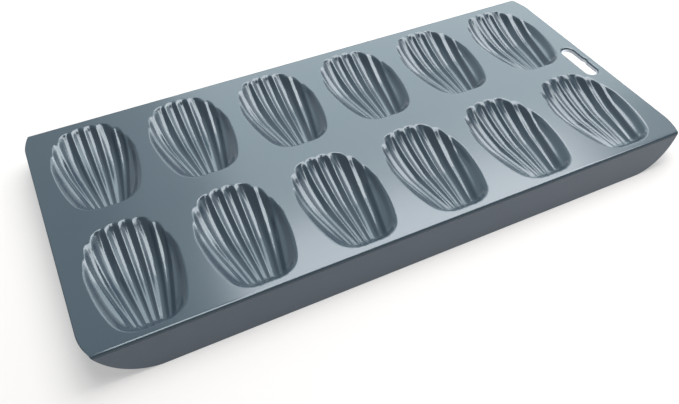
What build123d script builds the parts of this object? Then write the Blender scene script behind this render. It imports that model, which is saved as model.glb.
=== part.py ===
from build123d import *
import math
import os

os.makedirs("parts", exist_ok=True)

# Madeleine pan: one coated steel pressing, in millimetres, divided along its fold and press lines.
# +X runs along the pan, +Y towards the cups' fan-shaped ends, +Z up.
# The origin is under the middle of the pan, level with the skirts' lower edges.

# Pan, which is as long and as wide as its cups and the flat sheet around them
pan_height = 22.0
sheet = 0.8
overrun = 5.0

# Folded skirts along the two long sides, and the round corners of the flat blank
skirt_flare = 12.0
fold_radius = 2.0
corner_radius = 40.0

# Cups, each in the flat field that it is pressed from
cup_length = 78.0
cup_width = 52.8
crest_depth = 10.6
field_side_margin = 2.6
field_end_margin = 3.0
field_corner = 5.0

# Rows and columns of cups, with the flat sheet between their fields and out to the pan's edges
cup_columns = 6
cup_rows = 2
column_gap = 6.4
row_gap = 12.0
end_margin = 10.0
front_margin = 3.4
rear_margin = 5.4

# Hang slot with its turned-down lip
slot_length = 35.8
slot_width = 10.0
slot_edge_margin = 5.2
slot_lip_depth = 3.0
slot_notch_width = 6.0
slot_notch_depth = 1.0

# Crests between the flutes, from the middle one out to the side rim. Half widths at the narrow end
# and at the fan are shares of half the cup's width, depths are shares of the middle crest's depth,
# and the places where the crests meet the fan's rim are shares of half the cup's length.
narrow_x_shares = (0.0, 0.108, 0.285, 0.433, 0.55)
fan_x_shares = (0.0, 0.305, 0.69, 0.925, 1.005)
crest_depth_shares = (1.0, 0.98, 0.84, 0.53)
cusp_y_shares = (0.965, 0.94, 0.77, 0.48)
rim_lift_y_share = 0.14
rim_lift_run_share = 0.33
rim_spread_exponent = 3.8
fan_rise_exponent = 1.58
end_wall_share = 0.18
end_wall_exponent = 5.5
heel_y_share = -0.46
heel_end_y_share = -1.012
heel_exponent = 2.2
flute_sag_shares = (1.0, 1.1, 0.78, 0.55)

# Cross-sections along the cup, from the narrow end: their places, as shares of its length,
# and how deep each flute is there, as a share of its width.
station_shares = (0.0, 0.025, 0.06, 0.105, 0.165, 0.25, 0.375, 0.5, 0.61, 0.71, 0.80, 0.88, 0.945, 1.0, 1.07)
sag_shares = (0.078, 0.089, 0.104, 0.124, 0.149, 0.181, 0.221, 0.248, 0.259, 0.26, 0.26, 0.26, 0.26, 0.221, 0.117)

# Steepest slope that the wall is thickened for in a cross-section
wall_slope_limit = 1.0

# Worked-out places
cup_half = cup_length / 2
cup_half_width = cup_width / 2
field_half_width = cup_half_width + field_side_margin
field_end = cup_half + field_end_margin
field_narrow = cup_half_width * narrow_x_shares[-1] + field_side_margin
column_pitch = 2 * field_half_width + column_gap
row_pitch = 2 * field_end + row_gap
row_setback = (rear_margin - front_margin) / 2
half_length = (cup_columns - 1) * column_pitch / 2 + field_half_width + end_margin
half_width = ((cup_rows - 1) * row_pitch + front_margin + rear_margin) / 2 + field_end
flare = math.radians(skirt_flare)
skirt_depth = pan_height / math.cos(flare)
fold_setback = fold_radius * math.tan((math.pi / 2 - flare) / 2)
fold_y = half_width - fold_setback
corner_x = half_length - corner_radius
corner_drop = skirt_depth - corner_radius
seam_drop = -fold_setback * math.sin(flare)
seam_x = corner_x + corner_radius * math.cos(math.asin((seam_drop - corner_drop) / corner_radius))
profile_top = pan_height + cup_half
slot_x = half_length - slot_edge_margin - slot_width / 2


def heel_share(y):
    """Share of the full depth that the narrow end leaves at y."""
    heel_y = heel_y_share * cup_half
    if y >= heel_y:
        return 1.0
    run = (heel_y - y) / (heel_y - heel_end_y_share * cup_half)
    return (1 - run**heel_exponent) ** (1 / heel_exponent)


def crest_depth_at(k, y):
    """Depth of crest k below the deck; less than zero where it has risen past the fan's rim."""
    full = crest_depth * crest_depth_shares[k]
    if y <= 0:
        return full * heel_share(y)
    way = y / (cusp_y_shares[k] * cup_half)
    wall = min(way, 1.0) ** end_wall_exponent + end_wall_exponent * max(way - 1.0, 0.0)
    return full * (1 - (1 - end_wall_share) * way**fan_rise_exponent - end_wall_share * wall)


def crest_x_at(k, y):
    """Distance of crest k, or of the side rim, from the cup's middle line."""
    run = min(max((y + cup_half) / cup_length, 0.0), 1.0)
    rim = k == len(crest_depth_shares)
    spread = 1 - (1 - run) ** rim_spread_exponent if rim else math.sin(math.pi / 2 * run)
    return cup_half_width * (narrow_x_shares[k] + (fan_x_shares[k] - narrow_x_shares[k]) * spread)


def rim_lift_at(y):
    """Height above the deck of the side rim, once the outer flute has run out of it."""
    past = max(y - rim_lift_y_share * cup_half, 0.0) / (rim_lift_run_share * cup_half)
    return crest_depth * crest_depth_shares[-1] * past**fan_rise_exponent


def crest_points(y):
    """Crests of one cross-section from the left rim to the right rim, as (across, up) places."""
    right = [(crest_x_at(k, y), pan_height - crest_depth_at(k, y)) for k in range(len(crest_depth_shares))]
    right.append((crest_x_at(len(crest_depth_shares), y), pan_height + rim_lift_at(y)))
    left = [(-x, z) for x, z in reversed(right[1:])]
    return left + right


def flute_arcs(y, sag_share):
    """Centre and radius of the arc that each flute follows between two crests."""
    points = crest_points(y)
    shares = list(reversed(flute_sag_shares)) + list(flute_sag_shares)
    arcs = []
    for (x0, z0), (x1, z1), share in zip(points, points[1:], shares):
        chord = math.hypot(x1 - x0, z1 - z0)
        sag = chord * sag_share * share
        radius = (chord**2 / 4 + sag**2) / (2 * sag)
        up_x, up_z = -(z1 - z0) / chord, (x1 - x0) / chord
        rise = radius - sag
        arcs.append(((x0 + x1) / 2 + up_x * rise, (z0 + z1) / 2 + up_z * rise, radius))
    return arcs


def moved_out(point, centres, wall):
    """Point of the cavity's outline moved out by the wall, squarely to each arc that ends there."""
    x, z = point
    normals = [((x - cx) / r, (z - cz) / r) for cx, cz, r in centres]
    mid_x, mid_z = sum(n[0] for n in normals), sum(n[1] for n in normals)
    reach = math.hypot(mid_x, mid_z)
    square = (mid_x * normals[0][0] + mid_z * normals[0][1]) / reach
    return x + mid_x / reach * wall / square, z + mid_z / reach * wall / square


def section_profile(y, sag_share, wall):
    """Arc ends and middles of one closed cross-section, moved out from the flutes by the wall."""
    points = crest_points(y)
    arcs = flute_arcs(y, sag_share)
    middles = []
    for (x0, z0), (x1, z1), (cx, cz, r) in zip(points, points[1:], arcs):
        mid_x, mid_z = (x0 + x1) / 2 - cx, (z0 + z1) / 2 - cz
        reach = math.hypot(mid_x, mid_z)
        middles.append((cx + mid_x * (r + wall) / reach, cz + mid_z * (r + wall) / reach))
    neighbours = [arcs[:1]] + [[a, b] for a, b in zip(arcs, arcs[1:])] + [arcs[-1:]]
    return [moved_out(p, near, wall) for p, near in zip(points, neighbours)], middles


def wall_at(y):
    """Sheet thickness measured in the cross-section, more where the cup's floor slopes along it."""
    step = sheet
    slope = (crest_depth_at(0, y + step) - crest_depth_at(0, y)) / step
    return sheet * math.sqrt(1 + min(abs(slope), wall_slope_limit) ** 2)


# Cavity of one cup, and the same form one sheet larger, at the middle of the pan
forms = {}
for form, walled in (("cavity", False), ("outside", True)):
    with BuildPart() as body:
        for station, (share, sag_share) in enumerate(zip(station_shares, sag_shares)):
            y = (share - 0.5) * cup_length
            place = y - sheet if walled and station == 0 else y
            points, middles = section_profile(y, sag_share, wall_at(y) if walled else 0.0)
            with BuildSketch(Plane.XZ.offset(-place)):
                with BuildLine():
                    for start, middle, end in zip(points, middles, points[1:]):
                        ThreePointArc(start, middle, end)
                    left, right = points[0], points[-1]
                    Polyline(right, (right[0], profile_top), (left[0], profile_top), left)
                make_face()
        loft()
        split(bisect_by=Plane.XY.offset(pan_height), keep=Keep.BOTTOM)
    forms[form] = body.part

# Flat deck with the cups' openings and the hang slot
cup_places = [
    ((column - (cup_columns - 1) / 2) * column_pitch, (row - (cup_rows - 1) / 2) * row_pitch - row_setback)
    for row in range(cup_rows)
    for column in range(cup_columns)
]


def slot_outline(grow):
    """Draws the hang slot's outline, with its thumb notch towards the pan's end."""
    with Locations((slot_x, 0)):
        SlotOverall(slot_length + 2 * grow, slot_width + 2 * grow, rotation=90)
    with Locations((slot_x + slot_width / 2, 0)):
        Ellipse(slot_notch_depth + grow, slot_notch_width / 2 + grow)


# Outline that one cup is pressed inside: half round at the fan end, drawn in to the narrow end
shoulder = field_end - field_half_width
with BuildSketch() as cup_field:
    with BuildLine():
        ThreePointArc((field_half_width, shoulder), (0, field_end), (-field_half_width, shoulder))
        TangentArc((-field_half_width, shoulder), (-field_narrow, -field_end), tangent=(0, -1))
        Line((-field_narrow, -field_end), (field_narrow, -field_end))
        TangentArc((field_half_width, shoulder), (field_narrow, -field_end), tangent=(0, -1))
    make_face()
    fillet(cup_field.vertices().group_by(Axis.Y)[0], field_corner)

with BuildPart() as deck:
    with BuildSketch(Plane.XY.offset(pan_height)):
        with BuildLine():
            side_y = half_width + corner_drop
            TangentArc((half_length, side_y), (seam_x, fold_y), tangent=(0, 1))
            Line((seam_x, fold_y), (-seam_x, fold_y))
            TangentArc((-half_length, side_y), (-seam_x, fold_y), tangent=(0, 1))
            Line((-half_length, side_y), (-half_length, -side_y))
            TangentArc((-half_length, -side_y), (-seam_x, -fold_y), tangent=(0, -1))
            Line((-seam_x, -fold_y), (seam_x, -fold_y))
            TangentArc((half_length, -side_y), (seam_x, -fold_y), tangent=(0, -1))
            Line((half_length, -side_y), (half_length, side_y))
        make_face()
    extrude(amount=-sheet)
    with BuildSketch(Plane.XY.offset(pan_height)):
        slot_outline(0.0)
    extrude(amount=-sheet, mode=Mode.SUBTRACT)
    with BuildSketch(Plane.XY.offset(pan_height)):
        with Locations(*cup_places):
            add(cup_field.sketch)
    extrude(amount=-sheet, mode=Mode.SUBTRACT)
deck.part.label = "deck"
export_step(deck.part, "parts/deck.step")

# Skirts: a small fold, then a leg that splays outwards, cut to the blank's round corners
with BuildPart() as rear_skirt:
    corner = Vector(half_width, pan_height)
    down = Vector(math.sin(flare), -math.cos(flare))
    inward = Vector(-math.cos(flare), -math.sin(flare))
    fold_top = Vector(fold_y, pan_height)
    leg_top = corner + down * fold_setback
    leg_inner = leg_top + inward * sheet
    leg_foot = corner + down * skirt_depth
    foot_inner = leg_inner + down * (leg_inner.Y / math.cos(flare))
    with BuildSketch(Plane.YZ):
        with BuildLine():
            TangentArc(fold_top, leg_top, tangent=(1, 0))
            Polyline(leg_top, leg_foot, foot_inner, leg_inner)
            TangentArc(fold_top - Vector(0, sheet), leg_inner, tangent=(1, 0))
            Line(fold_top - Vector(0, sheet), fold_top)
        make_face()
    extrude(amount=half_length, both=True)
    outward = (0, math.cos(flare), math.sin(flare))
    skirt_plane = Plane(origin=(0, half_width, pan_height), x_dir=(1, 0, 0), z_dir=outward)
    with BuildSketch(skirt_plane):
        with BuildLine():
            start_angle = math.degrees(math.asin((-overrun - corner_drop) / corner_radius))
            CenterArc((corner_x, corner_drop), corner_radius, start_angle, 90 - start_angle)
            Line((corner_x, skirt_depth), (-corner_x, skirt_depth))
            CenterArc((-corner_x, corner_drop), corner_radius, 90, 90 - start_angle)
            top_x = corner_x + corner_radius * math.cos(math.radians(start_angle))
            Line((-top_x, -overrun), (top_x, -overrun))
        make_face()
    extrude(amount=overrun, both=True, mode=Mode.INTERSECT)
rear_skirt.part.label = "rear_skirt"
export_step(rear_skirt.part, "parts/rear_skirt.step")

with BuildPart() as front_skirt:
    add(mirror(rear_skirt.part, about=Plane.XZ, mode=Mode.PRIVATE))
front_skirt.part.label = "front_skirt"
export_step(front_skirt.part, "parts/front_skirt.step")

# Lip turned down round the hang slot, hung from the deck's underside
with BuildPart() as hang_slot_lip:
    with BuildSketch(Plane.XY.offset(pan_height - sheet)):
        slot_outline(sheet)
        with BuildSketch(mode=Mode.SUBTRACT):
            slot_outline(0.0)
    extrude(amount=-slot_lip_depth)
hang_slot_lip.part.label = "hang_slot_lip"
export_step(hang_slot_lip.part, "parts/hang_slot_lip.step")

# One cup with its flat field, and a copy of it in each opening
with BuildPart() as cup_shell:
    add(forms["outside"])
    with BuildSketch(Plane.XY.offset(pan_height)):
        add(cup_field.sketch)
    extrude(amount=-pan_height, mode=Mode.INTERSECT)
    with BuildSketch(Plane.XY.offset(pan_height)):
        add(cup_field.sketch)
    extrude(amount=-sheet)
    add(forms["cavity"], mode=Mode.SUBTRACT)

row_names = ("front", "rear")
for row in range(cup_rows):
    for column in range(cup_columns):
        with BuildPart() as cup:
            with Locations(cup_places[row * cup_columns + column]):
                add(cup_shell.part)
        name = f"{row_names[row]}_cup_{column + 1}"
        cup.part.label = name
        export_step(cup.part, f"parts/{name}.step")
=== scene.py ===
"""Dresses the madeleine pan: its pressed sheet, its coating, and a plain pale studio around it.

The pan's lengths are in millimetres until a mesh is made, and the studio's in metres. +X runs along
the pan, +Y towards the cups' fan-shaped ends and +Z up, as in the frame.
"""

from __future__ import annotations

import logging
import math
from dataclasses import dataclass, field
from enum import Enum

import bpy
import numpy as np
from mathutils import Euler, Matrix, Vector
from mathutils.geometry import delaunay_2d_cdt

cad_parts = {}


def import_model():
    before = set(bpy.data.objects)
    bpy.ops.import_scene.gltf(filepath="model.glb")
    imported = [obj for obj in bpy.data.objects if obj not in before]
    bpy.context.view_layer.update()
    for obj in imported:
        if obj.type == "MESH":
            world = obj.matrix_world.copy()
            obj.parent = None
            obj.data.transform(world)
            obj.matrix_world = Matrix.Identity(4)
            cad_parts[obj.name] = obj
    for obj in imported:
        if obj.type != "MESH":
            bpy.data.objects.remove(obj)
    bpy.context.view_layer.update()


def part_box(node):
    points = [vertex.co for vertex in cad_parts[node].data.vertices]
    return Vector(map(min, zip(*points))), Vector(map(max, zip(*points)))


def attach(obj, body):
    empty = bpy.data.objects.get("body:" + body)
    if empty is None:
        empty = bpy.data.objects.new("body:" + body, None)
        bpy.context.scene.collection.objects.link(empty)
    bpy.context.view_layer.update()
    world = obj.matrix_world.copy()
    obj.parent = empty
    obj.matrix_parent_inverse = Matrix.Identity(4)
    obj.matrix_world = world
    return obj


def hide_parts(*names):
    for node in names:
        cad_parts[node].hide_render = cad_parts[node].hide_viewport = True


LOG = logging.getLogger("madeleine_pan")

MM = 0.001
BODY = "root"

# Triangulation mode that fills only what the outlines enclose
FILL_INSIDE = 1


class Row(Enum):
    """Rows of cups, named as the frame's nodes are."""

    FRONT = "front"
    REAR = "rear"


class Side(Enum):
    """Long sides of the pan, with the way that each faces along Y."""

    FRONT = -1
    REAR = 1

    @property
    def node(self) -> str:
        """Name of the side's skirt in the frame."""
        return f"{self.name.lower()}_skirt"


def smooth_step(share: np.ndarray) -> np.ndarray:
    """Eases from 0 to 1 by the cubic 3s^2 - 2s^3, level at both ends."""
    share = np.clip(share, 0.0, 1.0)
    return share * share * (3 - 2 * share)


def smooth_min(first: np.ndarray, second: np.ndarray, blend: np.ndarray) -> np.ndarray:
    """Lower of two surfaces, with a parabola through the crease where they are closer than blend.

    Args:
        first: Heights of one surface.
        second: Heights of the other.
        blend: Height difference at which the parabola meets each surface.

    Returns:
        The joined heights: the minimum less blend / 4 times the square of the share still to go.
    """
    share = np.maximum(blend - np.abs(first - second), 0.0) / blend
    return np.minimum(first, second) - share * share * blend / 4


def spline_between(
    before: np.ndarray, start: np.ndarray, end: np.ndarray, after: np.ndarray, share: np.ndarray
) -> np.ndarray:
    """Catmull-Rom spline through four values in a row.

    It is the cubic from start to end that has, at each of them, the slope of the line between its
    two neighbours.

    Args:
        before: Values one step before the start.
        start: Values where the share is 0.
        end: Values where the share is 1.
        after: Values one step past the end.
        share: Share of the way from start to end.

    Returns:
        The values on the spline.
    """
    line = (end - before) * share
    square = (2 * before - 5 * start + 4 * end - after) * share**2
    cube = (3 * start - before - 3 * end + after) * share**3
    return 0.5 * (2 * start + line + square + cube)


def grid_quads(rows: int, columns: int, closed: bool = False) -> np.ndarray:
    """Joins the points of a grid, which run row by row, into quads.

    Args:
        rows: Points across the grid.
        columns: Points along each row.
        closed: Whether each row ends where it starts.

    Returns:
        One line of four point numbers for each quad, facing up where rows run along +Y.
    """
    spans = columns if closed else columns - 1
    row, column = np.meshgrid(np.arange(rows - 1), np.arange(spans), indexing="ij")
    near = row * columns + column
    beside = row * columns + (column + 1) % columns
    return np.stack([near, beside, beside + columns, near + columns], axis=-1).reshape(-1, 4)


def grid_rim(rows: int, columns: int, closed: bool = False) -> np.ndarray:
    """Marks the points on a grid's outside edges.

    Args:
        rows: Points across the grid.
        columns: Points along each row.
        closed: Whether each row ends where it starts, so that only the first and last row are edges.

    Returns:
        One mark for each point, row by row.
    """
    rim = np.zeros((rows, columns), dtype=bool)
    rim[[0, -1], :] = True
    if not closed:
        rim[:, [0, -1]] = True
    return rim.ravel()


@dataclass(frozen=True)
class PanSizes:
    """Sizes of the pan that its pieces share.

    The first four are measured in the frame, and the others repeat the pan's own sizes. The fold's
    lap is how far each skirt's piece reaches onto the deck.
    """

    top: float
    half_length: float
    fold_y: float
    foot_y: float
    sheet: float = 0.8
    flare: float = math.radians(12.0)
    fold_radius: float = 2.0
    corner_radius: float = 40.0
    fold_lap: float = 0.4

    @classmethod
    def from_frame(cls) -> PanSizes:
        """Measures the deck and a skirt of the frame.

        Returns:
            The pan's sizes.
        """
        deck_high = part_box("deck")[1]
        skirt_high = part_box(Side.REAR.node)[1]
        return cls(deck_high.z / MM, deck_high.x / MM, deck_high.y / MM, skirt_high.y / MM)

    @property
    def half_width(self) -> float:
        """Half the width at the sharp corner that the fold rounds off."""
        return self.foot_y - self.top * math.tan(self.flare)

    @property
    def fold_setback(self) -> float:
        """Distance from the sharp corner to where the fold's bend starts."""
        return self.fold_radius * math.tan((math.pi / 2 - self.flare) / 2)

    @property
    def skirt_depth(self) -> float:
        """Depth of a skirt, measured down its slope from the sharp corner."""
        return self.top / math.cos(self.flare)

    @property
    def corner_drop(self) -> float:
        """Place of a round corner's centre down the skirt's slope, less than zero above the fold."""
        return self.skirt_depth - self.corner_radius

    @property
    def foot_lift(self) -> float:
        """Distance that the outer face stops short of the floor, so that the inner one ends on it."""
        return self.sheet * math.tan(self.flare)

    @property
    def seam_y(self) -> float:
        """Place across the pan where the deck ends and the skirt's piece starts."""
        return self.fold_y - self.fold_lap

    def corner_x(self, drop: np.ndarray) -> np.ndarray:
        """End of the sheet at a place down the skirt's slope, on a circle about the corner's centre."""
        reach = np.clip(drop - self.corner_drop, 0.0, self.corner_radius)
        return self.half_length - self.corner_radius + np.sqrt(self.corner_radius**2 - reach**2)

    def deck_end_x(self, y: np.ndarray) -> np.ndarray:
        """End of the deck: straight, then an arc that leaves it smoothly and ends at the fold.

        The arc's radius is the sum of the squares of its inset and its rise, over twice the inset.

        Args:
            y: Distances from the deck's middle line.

        Returns:
            Distances of the end from the middle of the pan.
        """
        start = self.half_width + self.corner_drop
        rise = self.fold_y - start
        inset = self.half_length - self.corner_x(np.array(-self.fold_setback * math.sin(self.flare)))
        radius = (inset**2 + rise**2) / (2 * inset)
        return self.half_length - radius + np.sqrt(radius**2 - np.maximum(y - start, 0.0) ** 2)


def make_piece(
    name: str,
    points: np.ndarray,
    faces: list[list[int]],
    rim: np.ndarray,
    sheet: float,
    coating: bpy.types.Material,
    node: str,
) -> None:
    """Makes one piece of sheet from its upper face, gives it its thickness and ties it to the frame.

    Args:
        name: The piece's name.
        points: Places on the upper face, in millimetres, one line each.
        faces: Point numbers of each face, anticlockwise from above.
        rim: Which points lie on the piece's edge, where the shading breaks.
        sheet: Thickness, added below.
        coating: Finish of both faces.
        node: The frame's node that the piece stands for.
    """
    mesh = bpy.data.meshes.new(name)
    mesh.from_pydata((points * MM).tolist(), [], faces)
    mesh.polygons.foreach_set("use_smooth", np.ones(len(mesh.polygons), dtype=bool))
    ends = np.empty(2 * len(mesh.edges), dtype=np.int32)
    mesh.edges.foreach_get("vertices", ends)
    sharp = rim[ends.reshape(-1, 2)].all(axis=1)
    mesh.attributes.new("sharp_edge", "BOOLEAN", "EDGE").data.foreach_set("value", sharp)
    mesh.materials.append(coating)
    mesh.update()
    piece = bpy.data.objects.new(name, mesh)
    bpy.context.scene.collection.objects.link(piece)
    wall = piece.modifiers.new("Sheet", "SOLIDIFY")
    wall.thickness = sheet * MM
    wall.offset = -1.0
    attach(piece, BODY)
    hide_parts(node)
    LOG.info("%s: %d points, %d faces, for %s", name, len(points), len(faces), node)


@dataclass(frozen=True)
class ShellForm:
    """Form of one shell cup about its own middle, with the deck at height zero.

    Crest 0 runs up the middle, crests 1 to 3 to each side of it, and the last crest is the side rim.
    Shares of x follow half the width, shares of y half the length, and depth shares the depth. A
    flute's sag below its crests is a share of its width, and flute_sag_shares vary it from the
    middle out. The dish is the slight dip of the sheet round the rim, and the run-out is the
    cavity's steeper rise just inside the field's fan end.
    """

    length: float = 78.0
    width: float = 52.8
    depth: float = 10.6
    narrow_x_shares: tuple[float, ...] = (0.0, 0.108, 0.285, 0.433, 0.59)
    fan_x_shares: tuple[float, ...] = (0.0, 0.305, 0.69, 0.925, 1.005)
    depth_shares: tuple[float, ...] = (1.0, 0.98, 0.83, 0.46, 0.0)
    cusp_y_shares: tuple[float, ...] = (0.965, 0.94, 0.77, 0.48)
    flute_sag_shares: tuple[float, ...] = (1.0, 1.1, 0.85, 0.55)
    crest_spread_exponent: float = 1.06
    rim_spread_exponent: float = 3.8
    rim_lift_y_share: float = 0.14
    rim_lift_run_share: float = 0.33
    fan_rise_exponent: float = 1.58
    end_wall_share: float = 0.18
    end_wall_exponent: float = 5.5
    heel_y_share: float = -1.02
    heel_rise_per_mm: float = 0.16
    heel_blend: float = 0.9
    corner_exponent: float = 1.811
    sag_share: float = 0.26
    sag_floor_share: float = 0.3
    sag_full_run: float = 0.65
    sag_fade_run: float = 0.97
    sag_fade_length: float = 0.08
    sag_fade_share: float = 0.6
    crest_round_share: float = 0.28
    side_blend: float = 2.0
    fan_blend: float = 1.25
    dish_depth: float = 0.2
    dish_reach: float = 1.65
    run_out_rise: float = 1.6
    run_out_reach: float = 2.2
    field_half_width: float = 29.0
    field_end: float = 42.0
    field_narrow: float = 16.35
    samples_per_flute: int = 12
    margin_columns: int = 6
    rows: int = 120
    row_crowding: float = 0.55
    end_tries: int = 30

    @property
    def half(self) -> float:
        """Half the cup's length."""
        return self.length / 2

    @property
    def shoulder(self) -> float:
        """Place along the cup where its field turns from the side to the round fan end."""
        return self.field_end - self.field_half_width

    def run(self, y: np.ndarray) -> np.ndarray:
        """Share of the cup's length from the narrow end."""
        return (y + self.half) / self.length

    def crest_x(self, crest: int, y: np.ndarray) -> np.ndarray:
        """Distance of a crest from the middle line.

        It grows from its share at the narrow end to its share at the fan by a quarter sine of a
        power of the run, and for the rim by 1 less a power of the run still to go.

        Args:
            crest: Number of the crest, counted from the middle.
            y: Places along the cup.

        Returns:
            Distances to the right of the middle line.
        """
        run = np.clip(self.run(y), 0.0, 1.0)
        rim = crest == len(self.narrow_x_shares) - 1
        sweep = np.sin(np.pi / 2 * run**self.crest_spread_exponent)
        spread = 1 - (1 - run) ** self.rim_spread_exponent if rim else sweep
        narrow, fan = self.narrow_x_shares[crest], self.fan_x_shares[crest]
        return self.width / 2 * (narrow + (fan - narrow) * spread)

    def crest_z(self, crest: int, y: np.ndarray) -> np.ndarray:
        """Height of a crest.

        Before the middle, the rise towards the side and the rise of the narrow end's wall join as
        the root of the sum of their powers, which rounds the corner between them. Past the middle, a
        crest rises by a power of its way to its cusp, mixed with a share of a steeper power for the
        fan's wall, and the rim rises clear of the deck.

        Args:
            crest: Number of the crest, counted from the middle.
            y: Places along the cup.

        Returns:
            Heights, less than zero below the deck.
        """
        heel_way = (y - self.heel_y_share * self.half) * self.heel_rise_per_mm
        heel_rise = np.maximum(1 - smooth_min(heel_way, np.ones_like(y), self.heel_blend), 0.0)
        power = self.corner_exponent
        rise = ((1 - self.depth_shares[crest]) ** power + heel_rise**power) ** (1 / power)
        near = -self.depth * (1 - rise)
        past = np.maximum(y, 0.0)
        if crest < len(self.cusp_y_shares):
            way = past / (self.cusp_y_shares[crest] * self.half)
            slow = way**self.fan_rise_exponent
            steep = np.minimum(way, 1.0) ** self.end_wall_exponent
            steep = steep + self.end_wall_exponent * np.maximum(way - 1.0, 0.0)
            climb = slow + self.end_wall_share * (steep - slow)
            far = -self.depth * self.depth_shares[crest] * (1 - climb)
        else:
            over = np.maximum(past - self.rim_lift_y_share * self.half, 0.0)
            way = over / (self.rim_lift_run_share * self.half)
            far = self.depth * self.depth_shares[-2] * way**self.fan_rise_exponent
        return np.where(y <= 0, near, far)

    def sag(self, y: np.ndarray) -> np.ndarray:
        """Depth of a flute below its crests: a quarter sine up from its least, then a fade.

        Args:
            y: Places along the cup.

        Returns:
            Shares of the flute's width.
        """
        run = self.run(y)
        up = np.sin(np.pi / 2 * np.clip(run / self.sag_full_run, 0.0, 1.0))
        fade = smooth_step((run - self.sag_fade_run) / self.sag_fade_length)
        full = self.sag_floor_share + (1 - self.sag_floor_share) * up
        return self.sag_share * full * (1 - self.sag_fade_share * fade)

    def field_x(self, y: np.ndarray) -> np.ndarray:
        """Half width of the field below its shoulder: an arc that leaves the shoulder squarely.

        Args:
            y: Places along the cup.

        Returns:
            Half widths, which stay full above the shoulder.
        """
        inset = self.field_half_width - self.field_narrow
        drop = self.shoulder + self.field_end
        radius = (inset**2 + drop**2) / (2 * inset)
        below = np.maximum(self.shoulder - y, 0.0)
        return self.field_half_width - radius + np.sqrt(radius**2 - below**2)

    def columns(self) -> tuple[np.ndarray, np.ndarray]:
        """Places across the right half: the flute that each column lies in, and its share of the way.

        Returns:
            Flute numbers, where 0 is the first to the right of the middle line and the last one is
            the margin beyond the rim, and shares from 0 to 1, which in a flute crowd towards its
            crests.
        """
        samples = (1 - np.cos(np.pi * np.arange(self.samples_per_flute) / self.samples_per_flute)) / 2
        flutes = len(self.flute_sag_shares)
        numbers = np.repeat(np.arange(flutes), self.samples_per_flute)
        shares = np.tile(samples, flutes)
        margin = np.arange(self.margin_columns + 1) / self.margin_columns
        numbers = np.concatenate([numbers, np.full(len(margin), flutes)])
        return numbers, np.concatenate([shares, margin])

    def half_surface(self, y: np.ndarray) -> tuple[np.ndarray, np.ndarray]:
        """Surface of the right half for one place along the cup in each cell.

        A spline joins the crests, and each flute sags below it. In the margin, which lies beyond the
        rim, the surface goes straight on at the outer flute's slope out to the field's edge.

        Args:
            y: Places along the cup, one row after another, one column for each place across.

        Returns:
            Distances from the middle line, and heights of the cavity before the deck cuts it.
        """
        numbers, shares = self.columns()
        last = len(self.narrow_x_shares) - 1
        xs = np.stack([self.crest_x(k, y) for k in range(last + 1)])
        zs = np.stack([self.crest_z(k, y) for k in range(last + 1)])
        xs = np.concatenate([-xs[1:2], xs, 2 * xs[-1:] - xs[-2:-1]])
        zs = np.concatenate([zs[1:2], zs, 2 * zs[-1:] - zs[-2:-1]])
        margin = numbers == last
        flute = np.minimum(numbers, last - 1)
        way = np.where(margin, 1.0, shares)
        across = np.arange(len(numbers))
        before, start, end, after = (
            (xs[flute + step, :, across].T, zs[flute + step, :, across].T) for step in range(4)
        )
        x, z = (spline_between(*values, way) for values in zip(before, start, end, after))
        width, rise = end[0] - start[0], end[1] - start[1]
        sag = self.sag(y) * np.hypot(width, rise) * np.array(self.flute_sag_shares)[flute]
        z = z - sag * self.groove(way, flute == last - 1)
        slope = (rise + 4 * sag) / width
        side = np.where(y < self.shoulder, self.field_x(y), self.field_half_width)
        beyond = np.where(margin, (side - x) * shares, 0.0)
        return x + beyond, z + slope * beyond

    def groove(self, way: np.ndarray, outer: np.ndarray) -> np.ndarray:
        """Share of a flute's sag across it: a parabola, rounded over where it meets a crest.

        The rounding puts the root of the sum of two squares, of the distance from the crest and of
        the crest's roundness, in the place of the distance itself.

        Args:
            way: Share of the way from the inner crest to the outer one.
            outer: Whether the flute ends at the side rim, which isn't a crest.

        Returns:
            Shares of the sag, from 0 at a crest to 1 in the flute's middle.
        """
        away = 1 - np.abs(2 * way - 1)
        soft = self.crest_round_share
        rounded = (np.sqrt(away**2 + soft**2) - soft) / (math.sqrt(1 + soft**2) - soft)
        reach = np.where(outer & (way > 0.5), away, rounded)
        return reach * (2 - reach)

    def surface(self) -> np.ndarray:
        """Upper face of the cup and its field.

        Each column follows its flute from the field's narrow end to the place where it meets the
        round fan end, found by trying again from the last place. Rows crowd towards both ends, by a
        sine taken off their even shares. The cavity's surface goes on rising past the rim, above the
        deck. The dish is full up to the rim and fades by a square over that rise, and a smooth
        minimum, softer at the sides than at the fan, joins the two.

        Returns:
            Places of rows by columns by three, in millimetres.
        """
        numbers, _ = self.columns()
        end = np.full((1, len(numbers)), self.shoulder)
        for _ in range(self.end_tries):
            x, _ = self.half_surface(end)
            reach = np.minimum(np.abs(x), self.field_half_width)
            end = (end + self.shoulder + np.sqrt(self.field_half_width**2 - reach**2)) / 2
        share = np.linspace(0.0, 1.0, self.rows)
        share = share - self.row_crowding * np.sin(2 * np.pi * share) / (2 * np.pi)
        y = -self.field_end + (end + self.field_end) * share[:, None]
        x, cavity = self.half_surface(y)
        run_out = np.clip(1 - (end - y) / self.run_out_reach, 0.0, 1.0)
        cavity = cavity + self.run_out_rise * run_out**2
        fan = smooth_step(y / self.half)
        blend = self.side_blend + (self.fan_blend - self.side_blend) * fan
        dish = -self.dish_depth * np.clip(1 - cavity / self.dish_reach, 0.0, 1.0) ** 2
        z = smooth_min(cavity, dish, blend)
        right = np.stack([x, y, z], axis=-1)
        left = right[:, :0:-1] * np.array([-1.0, 1.0, 1.0])
        return np.concatenate([left, right], axis=1)


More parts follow.
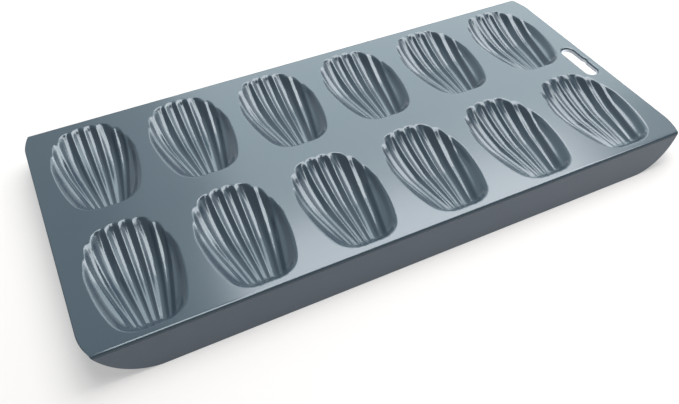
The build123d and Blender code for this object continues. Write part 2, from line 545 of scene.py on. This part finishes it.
@dataclass
class CupBlock:
    """The twelve pressed cups, one piece for each."""

    sizes: PanSizes
    coating: bpy.types.Material
    form: ShellForm = field(default_factory=ShellForm)
    columns: int = 6
    slot: str = "deck_coating"

    def centre(self, node: str) -> np.ndarray:
        """Middle of a cup's field in the frame, level with the deck."""
        low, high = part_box(node)
        return np.array([low.x + high.x, low.y + high.y, 2 * high.z]) / 2 / MM

    def nodes(self) -> list[str]:
        """Names of the frame's cups."""
        return [f"{row.value}_cup_{column + 1}" for row in Row for column in range(self.columns)]

    def build(self) -> None:
        """Makes each cup from the one form."""
        surface = self.form.surface()
        rows, columns = surface.shape[:2]
        faces = grid_quads(rows, columns).tolist()
        rim = grid_rim(rows, columns)
        for node in self.nodes():
            points = surface.reshape(-1, 3) + self.centre(node)
            make_piece(f"{node}_shell", points, faces, rim, self.sizes.sheet, self.coating, node)

    def outlines(self) -> list[np.ndarray]:
        """Edges of the fields, taken round the outside of the one form.

        Returns:
            A loop of places along and across the deck for each cup.
        """
        surface = self.form.surface()
        loop = np.concatenate([surface[0, :-1], surface[:-1, -1], surface[-1, :0:-1], surface[:0:-1, 0]])
        return [loop[:, :2] + self.centre(node)[:2] for node in self.nodes()]


@dataclass
class HangSlot:
    """The hang slot's rim: the deck rolled over and down into the slot."""

    sizes: PanSizes
    coating: bpy.types.Material
    length: float = 35.8
    width: float = 10.0
    edge_margin: float = 5.2
    notch_depth: float = 1.0
    notch_width: float = 6.0
    roll_radius: float = 1.6
    flat_start: float = 1.9
    lip_depth: float = 2.6
    straight_points: int = 40
    round_points: int = 24
    roll_rows: int = 8
    slot: str = "deck_coating"
    node: str = "hang_slot_lip"

    def outline(self, out: float) -> np.ndarray:
        """Slot's outline moved out by a distance: two straights, two half rounds and a cosine notch.

        Args:
            out: Distance outwards from the slot's hole.

        Returns:
            A loop of places along and across the deck.
        """
        radius = self.width / 2
        straight = self.length / 2 - radius
        along = np.linspace(-straight, straight, self.straight_points, endpoint=False)
        turn = np.linspace(0, np.pi, self.round_points, endpoint=False)
        notch = self.notch_depth * (1 + np.cos(np.pi * np.clip(2 * along / self.notch_width, -1, 1))) / 2
        right = np.stack([radius + out + notch, along], axis=1)
        top = np.stack([(radius + out) * np.cos(turn), straight + (radius + out) * np.sin(turn)], axis=1)
        left = np.stack([np.full_like(along, -radius - out), -along], axis=1)
        loop = np.concatenate([right, top, left, -top])
        centre_x = self.sizes.half_length - self.edge_margin - radius
        return loop + np.array([centre_x, 0.0])

    def build(self) -> None:
        """Carries the outline down a profile: flat, a quarter round, then the straight lip."""
        turn = np.linspace(0.0, np.pi / 2, self.roll_rows)
        lip_end = self.sizes.sheet + self.lip_depth
        out = np.concatenate([[self.flat_start], self.roll_radius * (1 - np.sin(turn)), [0.0]])
        drop = np.concatenate([[0.0], self.roll_radius * (1 - np.cos(turn)), [lip_end]])
        rings = [
            np.concatenate([loop, np.full((len(loop), 1), self.sizes.top - down)], axis=1)
            for loop, down in ((self.outline(float(o)), d) for o, d in zip(out, drop))
        ]
        grid = np.stack(rings)
        rows, columns = grid.shape[:2]
        points = grid.reshape(-1, 3)
        faces = grid_quads(rows, columns, closed=True).tolist()
        rim = grid_rim(rows, columns, closed=True)
        sheet = self.sizes.sheet
        make_piece("hang_slot_roll", points, faces, rim, sheet, self.coating, self.node)


@dataclass
class Deck:
    """The flat sheet around the cups, with its two cut ends eased.

    Points closer than the end tolerance to the inset outline of a cut end count as on it, and the
    triangulation joins points closer than the merge distance.
    """

    sizes: PanSizes
    coating: bpy.types.Material
    openings: list[np.ndarray]
    edge_width: float = 0.45
    edge_drop: float = 0.3
    end_tolerance: float = 1e-3
    merge_distance: float = 1e-6
    corner_fade: float = 6.0
    corner_points: int = 24
    fold_points: int = 60
    slot: str = "deck_coating"
    node: str = "deck"

    def outline(self) -> np.ndarray:
        """Outside edge: two ends, four round corners and the two seams with the skirts.

        Returns:
            A loop of places along and across the deck.
        """
        start = self.sizes.half_width + self.sizes.corner_drop
        rise = np.linspace(start, self.sizes.seam_y, self.corner_points)
        corner = np.stack([self.sizes.deck_end_x(rise), rise], axis=1)
        seam = np.linspace(corner[-1, 0], -corner[-1, 0], self.fold_points)[1:-1]
        rear = np.stack([seam, np.full_like(seam, self.sizes.seam_y)], axis=1)
        half = np.concatenate([corner, rear, corner[::-1] * np.array([-1.0, 1.0])])
        return np.concatenate([half, -half])

    def inner_lines(self, inner: np.ndarray, start: int) -> list[tuple[int, int]]:
        """Lines along both cut ends, between neighbours of the inset outline.

        Args:
            inner: Outline moved in from the cut ends.
            start: Number of its first point.

        Returns:
            Pairs of point numbers.
        """
        same_end = np.sign(inner[:, 0]) == np.sign(np.roll(inner[:, 0], -1))
        past_end = np.abs(inner[:, 0]) - self.sizes.deck_end_x(np.abs(inner[:, 1]))
        at_end = np.abs(past_end + self.edge_width) < self.end_tolerance
        kept = np.flatnonzero(same_end & at_end & np.roll(at_end, -1))
        return [(start + int(k), start + (int(k) + 1) % len(inner)) for k in kept]

    def build(self) -> None:
        """Fills the outline around the openings with flat triangles, and eases the two cut ends."""
        outline = self.outline()
        loops = [outline, *self.openings]
        inner = outline - self.edge_width * np.sign(outline) * np.array([1.0, 0.0])
        points = np.concatenate([*loops, inner])
        starts = np.cumsum([0] + [len(loop) for loop in loops])
        rings = [list(range(a, b)) for a, b in zip(starts[:-1], starts[1:])]
        flat = [Vector(p) for p in points.tolist()]
        lines = self.inner_lines(inner, starts[-1])
        filled = delaunay_2d_cdt(flat, lines, rings, FILL_INSIDE, self.merge_distance)
        verts, _, faces, _, _, owners = filled
        kept = [list(face) for face, owner in zip(faces, owners) if owner == [0]]
        places = np.array([[v.x, v.y, self.sizes.top] for v in verts])
        short = self.sizes.deck_end_x(np.abs(places[:, 1])) - np.abs(places[:, 0])
        to_seam = smooth_step((self.sizes.seam_y - np.abs(places[:, 1])) / self.corner_fade)
        places[:, 2] -= np.where(short < self.edge_width / 2, self.edge_drop * to_seam, 0.0)
        rim = np.ones(len(places), dtype=bool)
        make_piece("deck_sheet", places, kept, rim, self.sizes.sheet, self.coating, self.node)


@dataclass
class Skirt:
    """One long side: a small bend, then a leg that splays outwards, cut to the blank's round corners."""

    sizes: PanSizes
    coating: bpy.types.Material
    side: Side
    bend_rows: int = 16
    leg_rows: int = 28
    columns: int = 96
    slot: str = "skirt_coating"

    def profile(self) -> np.ndarray:
        """Profile across the fold: flat, an arc for the bend, then the straight leg.

        The leg's rows follow equal angles of the round corner's circle, so that they crowd towards
        the foot, where the sheet's end draws in fastest.

        Returns:
            Lines of place across the pan, height, and place down the skirt's slope.
        """
        pan = self.sizes
        turn = np.linspace(0.0, math.pi / 2 - pan.flare, self.bend_rows)
        bend_y = pan.fold_y + pan.fold_radius * np.sin(turn)
        bend_z = pan.top - pan.fold_radius * (1 - np.cos(turn))
        down = np.array([math.sin(pan.flare), -math.cos(pan.flare)])
        bend_drop = (bend_y - pan.half_width) * down[0] + (bend_z - pan.top) * down[1]
        start = math.asin((bend_drop[-1] - pan.corner_drop) / pan.corner_radius)
        stop = math.asin(1 - pan.foot_lift / pan.corner_radius)
        angle = np.linspace(start, stop, self.leg_rows)[1:]
        leg_drop = pan.corner_drop + pan.corner_radius * np.sin(angle)
        y = np.concatenate([[pan.seam_y], bend_y, pan.half_width + leg_drop * down[0]])
        z = np.concatenate([[pan.top], bend_z, pan.top + leg_drop * down[1]])
        drop = np.concatenate([[bend_drop[0]], bend_drop, leg_drop])
        return np.stack([y, z, drop], axis=1)

    def build(self) -> None:
        """Carries the profile along the pan, each row as long as the blank is there."""
        pan = self.sizes
        profile = self.profile()
        end = pan.corner_x(profile[:, 2])
        end[0] = pan.deck_end_x(np.array(pan.seam_y))
        share = np.linspace(-1.0, 1.0, self.columns) * self.side.value
        x = end[:, None] * share
        y = np.broadcast_to(profile[:, :1], x.shape) * self.side.value
        z = np.broadcast_to(profile[:, 1:2], x.shape)
        points = np.stack([x, y, z], axis=-1).reshape(-1, 3)
        rows, columns = x.shape
        faces = grid_quads(rows, columns).tolist()
        rim = grid_rim(rows, columns)
        name = f"{self.side.node}_fold"
        make_piece(name, points, faces, rim, pan.sheet, self.coating, self.side.node)


class SheenGrain:
    """Shader group for a sprayed coating: a fine peel, a slow unevenness and a faint mottle."""

    NAME = "Sheen Grain"
    INPUTS = (("Peel Scale", 900.0), ("Wave Scale", 18.0), ("Wave Share", 0.5))
    OUTPUTS = ("Height", "Mottle")
    PEEL_DETAIL = 2.0
    WAVE_DETAIL = 1.0

    def __init__(self) -> None:
        """Makes the group once, for every material that places it."""
        self.group = bpy.data.node_groups.new(self.NAME, "ShaderNodeTree")
        self._sockets()
        self._wire()

    def _sockets(self) -> None:
        """Makes the named inputs and outputs."""
        face = self.group.interface
        for name, value in self.INPUTS:
            socket = face.new_socket(name=name, in_out="INPUT", socket_type="NodeSocketFloat")
            socket.default_value = value
        for name in self.OUTPUTS:
            face.new_socket(name=name, in_out="OUTPUT", socket_type="NodeSocketFloat")

    def _wire(self) -> None:
        """Adds two noises on the object's own coordinates and mixes them into a height and a mottle."""
        nodes, links = self.group.nodes, self.group.links
        entry = nodes.new("NodeGroupInput")
        leave = nodes.new("NodeGroupOutput")
        place = nodes.new("ShaderNodeTexCoord")
        peel = nodes.new("ShaderNodeTexNoise")
        peel.inputs["Detail"].default_value = self.PEEL_DETAIL
        wave = nodes.new("ShaderNodeTexNoise")
        wave.inputs["Detail"].default_value = self.WAVE_DETAIL
        mix = nodes.new("ShaderNodeMix")
        mix.data_type = "FLOAT"
        links.new(place.outputs["Object"], peel.inputs["Vector"])
        links.new(place.outputs["Object"], wave.inputs["Vector"])
        links.new(entry.outputs["Peel Scale"], peel.inputs["Scale"])
        links.new(entry.outputs["Wave Scale"], wave.inputs["Scale"])
        links.new(entry.outputs["Wave Share"], mix.inputs["Factor"])
        links.new(peel.outputs["Fac"], mix.inputs["A"])
        links.new(wave.outputs["Fac"], mix.inputs["B"])
        links.new(mix.outputs["Result"], leave.inputs["Height"])
        links.new(wave.outputs["Fac"], leave.inputs["Mottle"])


@dataclass(frozen=True)
class Coating:
    """Finish of the sheet: a sprayed coating, or bare steel where metallic is 1.

    A top colour, if there is one, takes over between two heights in millimetres, top_from and
    top_full, as the coating of the sheet's upper face.
    """

    name: str
    deep_color: tuple[float, float, float]
    light_color: tuple[float, float, float]
    roughness_low: float
    roughness_high: float
    metallic: float
    peel_scale: float = 900.0
    wave_scale: float = 18.0
    wave_share: float = 0.9
    bump_strength: float = 0.06
    bump_distance: float = 0.0004
    ior: float = 1.7
    specular_tint: tuple[float, float, float] = (0.82, 0.93, 1.0)
    top_color: tuple[float, float, float] | None = None
    top_roughness: float = 0.2
    top_from: float = 19.8
    top_full: float = 20.6

    def build_top(self, nodes: bpy.types.Nodes, links: bpy.types.NodeLinks) -> tuple[bpy.types.Node, ...]:
        """Mixes in the finish of the sheet's upper face by height, where it comes over an edge.

        Args:
            nodes: The material's nodes.
            links: The material's links.

        Returns:
            The mixes of colour, of roughness and of metal, whose first inputs take the plain finish.
        """
        place = nodes.new("ShaderNodeTexCoord")
        parts = nodes.new("ShaderNodeSeparateXYZ")
        mask = nodes.new("ShaderNodeMapRange")
        mask.interpolation_type = "SMOOTHSTEP"
        mask.inputs["From Min"].default_value = self.top_from * MM
        mask.inputs["From Max"].default_value = self.top_full * MM
        color = nodes.new("ShaderNodeMix")
        color.data_type = "RGBA"
        color.inputs["B"].default_value = (*self.top_color, 1.0)
        gloss = nodes.new("ShaderNodeMix")
        gloss.data_type = "FLOAT"
        gloss.inputs["B"].default_value = self.top_roughness
        metal = nodes.new("ShaderNodeMix")
        metal.data_type = "FLOAT"
        metal.inputs["A"].default_value = self.metallic
        metal.inputs["B"].default_value = 0.0
        links.new(place.outputs["Object"], parts.inputs["Vector"])
        links.new(parts.outputs["Z"], mask.inputs["Value"])
        for mix in (color, gloss, metal):
            links.new(mask.outputs["Result"], mix.inputs["Factor"])
        return color, gloss, metal

    def build(self, grain: SheenGrain) -> bpy.types.Material:
        """Wires the grain into colour, roughness and normal.

        Args:
            grain: The shared shader group.

        Returns:
            The finished material.
        """
        material = bpy.data.materials.new(self.name)
        material.use_nodes = True
        nodes, links = material.node_tree.nodes, material.node_tree.links
        shader = nodes["Principled BSDF"]
        group = nodes.new("ShaderNodeGroup")
        group.node_tree = grain.group
        group.inputs["Peel Scale"].default_value = self.peel_scale
        group.inputs["Wave Scale"].default_value = self.wave_scale
        group.inputs["Wave Share"].default_value = self.wave_share
        tint = nodes.new("ShaderNodeMix")
        tint.data_type = "RGBA"
        tint.inputs["A"].default_value = (*self.deep_color, 1.0)
        tint.inputs["B"].default_value = (*self.light_color, 1.0)
        gloss = nodes.new("ShaderNodeMapRange")
        gloss.inputs["To Min"].default_value = self.roughness_low
        gloss.inputs["To Max"].default_value = self.roughness_high
        bump = nodes.new("ShaderNodeBump")
        bump.inputs["Strength"].default_value = self.bump_strength
        bump.inputs["Distance"].default_value = self.bump_distance
        links.new(group.outputs["Mottle"], tint.inputs["Factor"])
        links.new(group.outputs["Mottle"], gloss.inputs["Value"])
        links.new(group.outputs["Height"], bump.inputs["Height"])
        if self.top_color is None:
            links.new(tint.outputs["Result"], shader.inputs["Base Color"])
            links.new(gloss.outputs["Result"], shader.inputs["Roughness"])
        else:
            top_color, top_gloss, top_metal = self.build_top(nodes, links)
            links.new(tint.outputs["Result"], top_color.inputs["A"])
            links.new(gloss.outputs["Result"], top_gloss.inputs["A"])
            links.new(top_color.outputs["Result"], shader.inputs["Base Color"])
            links.new(top_gloss.outputs["Result"], shader.inputs["Roughness"])
            links.new(top_metal.outputs["Result"], shader.inputs["Metallic"])
        links.new(bump.outputs["Normal"], shader.inputs["Normal"])
        shader.inputs["Metallic"].default_value = self.metallic
        shader.inputs["IOR"].default_value = self.ior
        shader.inputs["Specular Tint"].default_value = (*self.specular_tint, 1.0)
        return material


# Colour of the upper face's coating where it comes over an edge, about midway between its own two
UPPER_FACE_COLOR = (0.028, 0.046, 0.063)

DECK_FINISH = Coating(
    name="Blue-grey Coating",
    deep_color=(0.025, 0.042, 0.06),
    light_color=(0.031, 0.049, 0.067),
    roughness_low=0.16,
    roughness_high=0.21,
    metallic=0.0,
)

SKIRT_FINISH = Coating(
    name="Dark Skirt Coating",
    deep_color=(0.101, 0.124, 0.157),
    light_color=(0.112, 0.136, 0.168),
    roughness_low=0.38,
    roughness_high=0.46,
    metallic=0.0,
    ior=1.65,
    top_color=UPPER_FACE_COLOR,
    top_roughness=0.1,
)

SLOT_FINISH = Coating(
    name="Slot Coating and Cut Steel",
    deep_color=(0.76, 0.82, 0.88),
    light_color=(0.82, 0.88, 0.94),
    roughness_low=0.3,
    roughness_high=0.4,
    metallic=1.0,
    top_color=UPPER_FACE_COLOR,
    top_roughness=0.18,
    top_from=20.7,
    top_full=21.0,
)


@dataclass(frozen=True)
class SoftBox:
    """A rectangular lamp that hangs level above the studio floor."""

    name: str
    middle: tuple[float, float, float]
    width: float
    length: float
    level: float
    color: tuple[float, float, float]

    def build(self) -> None:
        """Makes the lamp, with the power that gives its face the level asked for."""
        lamp = bpy.data.lights.new(self.name, "AREA")
        lamp.shape = "RECTANGLE"
        lamp.size = self.width
        lamp.size_y = self.length
        lamp.energy = self.level * math.pi * self.width * self.length
        lamp.color = self.color
        holder = bpy.data.objects.new(self.name, lamp)
        holder.location = self.middle
        bpy.context.scene.collection.objects.link(holder)


# Colours of the lamps' light
WARM = (1.0, 0.95, 0.93)
MILD = (0.98, 0.97, 0.94)
COOL = (0.92, 1.0, 0.99)
COLD = (0.9, 1.0, 1.0)

# Lamps in one plane hide each other in reflections, so the edge softbox hangs a little lower
LAMPS = (
    SoftBox("Key softbox", (0.55, 0.33, 1.0), width=1.0, length=0.88, level=7.2, color=WARM),
    SoftBox("Top softbox", (-0.10, 0.02, 1.0), width=0.30, length=0.66, level=7.2, color=MILD),
    SoftBox("Right softbox", (1.75, 0.35, 1.0), width=1.4, length=0.92, level=1.1, color=COOL),
    SoftBox("Back softbox", (1.5, 1.7, 1.0), width=2.76, length=1.8, level=2.9, color=COOL),
    SoftBox("Fill softbox", (-0.6, 1.25, 1.0), width=1.4, length=1.4, level=0.6, color=COLD),
    SoftBox("Edge softbox", (-0.01, 0.85, 0.96), width=0.2, length=1.3, level=0.5, color=COLD),
)


@dataclass
class Studio:
    """Camera, floor, lamps and surroundings, in metres.

    Only the lens and its sensor are in millimetres, and the camera's roll is in degrees.
    """

    eye: tuple[float, float, float] = (-0.16573, -0.31846, 0.33016)
    target: tuple[float, float, float] = (-0.03607, -0.05226, 0.022)
    roll: float = -0.188
    lens: float = 37.39
    sensor_width: float = 36.0
    clip_start: float = 0.01
    floor_half: float = 6.0
    floor_color: tuple[float, float, float] = (0.38, 0.38, 0.38)
    floor_glow: float = 0.4
    far_glow: float = 0.9
    glow_from: float = 0.35
    glow_full: float = 1.6
    ambient: float = 0.28
    backdrop_top: float = 0.2
    ceiling_start: float = 0.5
    ceiling_level: float = 0.0
    left_wall_level: float = 0.2
    left_wall_start: float = -0.7
    left_wall_end: float = -0.2
    lamps: tuple[SoftBox, ...] = LAMPS

    def build_camera(self) -> None:
        """Sets the camera where the photograph was taken from."""
        data = bpy.data.cameras.new("Camera")
        data.lens = self.lens
        data.sensor_width = self.sensor_width
        data.sensor_fit = "HORIZONTAL"
        data.clip_start = self.clip_start
        camera = bpy.data.objects.new("Camera", data)
        eye, target = Vector(self.eye), Vector(self.target)
        aim = (target - eye).to_track_quat("-Z", "Y").to_matrix()
        turn = Euler((0.0, 0.0, math.radians(self.roll))).to_matrix()
        camera.location = eye
        camera.rotation_euler = (aim @ turn).to_euler()
        bpy.context.scene.collection.objects.link(camera)
        bpy.context.scene.camera = camera

    def build_floor(self) -> None:
        """Lays a plain pale floor that looks white to the camera outside the pan's shadow.

        What the camera and reflections see of it gets paler with distance, so that it meets the
        white surroundings without a line.
        """
        half = self.floor_half
        mesh = bpy.data.meshes.new("Floor")
        corners = [(-half, -half, 0.0), (half, -half, 0.0), (half, half, 0.0), (-half, half, 0.0)]
        mesh.from_pydata(corners, [], [(0, 1, 2, 3)])
        material = bpy.data.materials.new("Pale Floor")
        material.use_nodes = True
        nodes, links = material.node_tree.nodes, material.node_tree.links
        nodes.remove(nodes["Principled BSDF"])
        paint = nodes.new("ShaderNodeBsdfDiffuse")
        paint.inputs["Color"].default_value = (*self.floor_color, 1.0)
        glow = nodes.new("ShaderNodeEmission")
        path = nodes.new("ShaderNodeLightPath")
        seen = nodes.new("ShaderNodeMath")
        seen.operation = "MAXIMUM"
        place = nodes.new("ShaderNodeTexCoord")
        away = nodes.new("ShaderNodeVectorMath")
        away.operation = "LENGTH"
        spread = nodes.new("ShaderNodeMapRange")
        spread.interpolation_type = "SMOOTHSTEP"
        spread.inputs["From Min"].default_value = self.glow_from
        spread.inputs["From Max"].default_value = self.glow_full
        spread.inputs["To Min"].default_value = self.floor_glow
        spread.inputs["To Max"].default_value = self.far_glow
        level = nodes.new("ShaderNodeMath")
        level.operation = "MULTIPLY"
        both = nodes.new("ShaderNodeAddShader")
        links.new(path.outputs["Is Camera Ray"], seen.inputs[0])
        links.new(path.outputs["Is Glossy Ray"], seen.inputs[1])
        links.new(place.outputs["Object"], away.inputs[0])
        links.new(away.outputs["Value"], spread.inputs["Value"])
        links.new(seen.outputs["Value"], level.inputs[0])
        links.new(spread.outputs["Result"], level.inputs[1])
        links.new(level.outputs["Value"], glow.inputs["Strength"])
        links.new(paint.outputs["BSDF"], both.inputs[0])
        links.new(glow.outputs["Emission"], both.inputs[1])
        links.new(both.outputs["Shader"], nodes["Material Output"].inputs["Surface"])
        mesh.materials.append(material)
        floor = bpy.data.objects.new("Floor", mesh)
        bpy.context.scene.collection.objects.link(floor)

    def build_world(self) -> None:
        """Surrounds the pan with white: full to the camera, dim to what lights the pan.

        Reflections show it full at the horizon, as the backdrop, and dim overhead, as the ceiling,
        and to the left, where the studio's wall is dark.
        """
        world = bpy.data.worlds.new("Surroundings")
        bpy.context.scene.world = world
        world.use_nodes = True
        nodes, links = world.node_tree.nodes, world.node_tree.links
        shade = nodes["Background"]
        path = nodes.new("ShaderNodeLightPath")
        seen = nodes.new("ShaderNodeMath")
        seen.operation = "MAXIMUM"
        level = nodes.new("ShaderNodeMapRange")
        level.inputs["To Min"].default_value = self.ambient
        level.inputs["To Max"].default_value = 1.0
        place = nodes.new("ShaderNodeTexCoord")
        parts = nodes.new("ShaderNodeSeparateXYZ")
        ceiling = nodes.new("ShaderNodeMapRange")
        ceiling.inputs["From Min"].default_value = self.backdrop_top
        ceiling.inputs["From Max"].default_value = self.ceiling_start
        ceiling.inputs["To Min"].default_value = 1.0
        ceiling.inputs["To Max"].default_value = self.ceiling_level
        left_wall = nodes.new("ShaderNodeMapRange")
        left_wall.inputs["From Min"].default_value = self.left_wall_start
        left_wall.inputs["From Max"].default_value = self.left_wall_end
        left_wall.inputs["To Min"].default_value = self.left_wall_level
        room = nodes.new("ShaderNodeMath")
        room.operation = "MULTIPLY"
        shown = nodes.new("ShaderNodeMath")
        shown.operation = "MULTIPLY"
        links.new(place.outputs["Object"], parts.inputs["Vector"])
        links.new(parts.outputs["Z"], ceiling.inputs["Value"])
        links.new(parts.outputs["X"], left_wall.inputs["Value"])
        links.new(ceiling.outputs["Result"], room.inputs[0])
        links.new(left_wall.outputs["Result"], room.inputs[1])
        links.new(path.outputs["Is Glossy Ray"], shown.inputs[0])
        links.new(room.outputs["Value"], shown.inputs[1])
        links.new(path.outputs["Is Camera Ray"], seen.inputs[0])
        links.new(shown.outputs["Value"], seen.inputs[1])
        links.new(seen.outputs["Value"], level.inputs["Value"])
        links.new(level.outputs["Result"], shade.inputs["Strength"])
        shade.inputs["Color"].default_value = (1.0, 1.0, 1.0, 1.0)

    def build(self) -> None:
        """Builds the whole studio."""
        bpy.context.scene.view_settings.view_transform = "Standard"
        self.build_camera()
        self.build_floor()
        self.build_world()
        for lamp in self.lamps:
            lamp.build()


def main() -> None:
    """Builds the pan's pieces and the studio."""
    logging.basicConfig(level=logging.INFO, format="%(name)s: %(message)s")
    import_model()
    sizes = PanSizes.from_frame()
    grain = SheenGrain()
    deck_coating = DECK_FINISH.build(grain)
    skirt_coating = SKIRT_FINISH.build(grain)
    slot_coating = SLOT_FINISH.build(grain)
    cups = CupBlock(sizes, deck_coating)
    cups.build()
    slot = HangSlot(sizes, slot_coating)
    slot.build()
    Deck(sizes, deck_coating, [*cups.outlines(), slot.outline(slot.flat_start)]).build()
    for side in Side:
        Skirt(sizes, skirt_coating, side).build()
    Studio().build()


if __name__ == "__main__":
    main()
